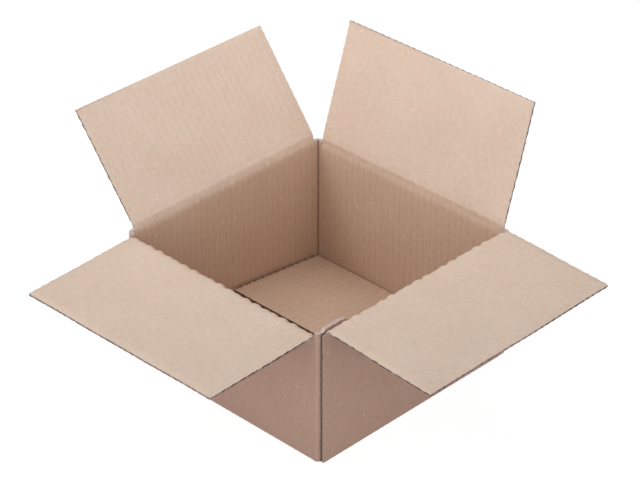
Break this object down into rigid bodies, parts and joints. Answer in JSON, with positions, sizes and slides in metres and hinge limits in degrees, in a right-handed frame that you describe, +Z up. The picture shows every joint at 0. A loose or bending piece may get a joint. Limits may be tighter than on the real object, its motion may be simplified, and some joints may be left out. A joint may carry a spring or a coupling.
{
  "type": "open carton",
  "caption": "Low square carton of corrugated board, open at the top, with a flap hinged along each wall and a folded bottom.",
  "frame": {"origin": "middle of the carton's underside, on the face it stands on", "axes": "+Z up; +Y towards the back-right wall, +X towards the front-right wall; the picture looks from between +X and -Y"},
  "size_m": [0.3682, 0.3432, 0.2117],
  "materials": {
    "kraft_board": "matt brown kraft liner with a faint washboard of flutes, cut edges greyer"
  },
  "bodies": {
    "box_body": {"box_body": "kraft_board"},
    "flap_front_left": {"flap_front_left": "kraft_board"},
    "flap_front_right": {"flap_front_right": "kraft_board"},
    "flap_back_left": {"flap_back_left": "kraft_board"},
    "flap_back_right": {"flap_back_right": "kraft_board"}
  },
  "joints": [
    {"name": "front_left_fold", "type": "hinge", "parent": "box_body", "child": "flap_front_left", "pos_m": [0, -0.104, 0.112], "axis": [1, 0, 0], "range_deg": [-182, 86]},
    {"name": "front_right_fold", "type": "hinge", "parent": "box_body", "child": "flap_front_right", "pos_m": [0.103, 0, 0.1153], "axis": [0, 1, 0], "range_deg": [-183.3, 84.7]},
    {"name": "back_right_fold", "type": "hinge", "parent": "box_body", "child": "flap_back_right", "pos_m": [0, 0.104, 0.112], "axis": [-1, 0, 0], "range_deg": [-107.7, 160.3]},
    {"name": "back_left_fold", "type": "hinge", "parent": "box_body", "child": "flap_back_left", "pos_m": [-0.103, 0, 0.1153], "axis": [0, -1, 0], "range_deg": [-128, 140]}
  ]
}
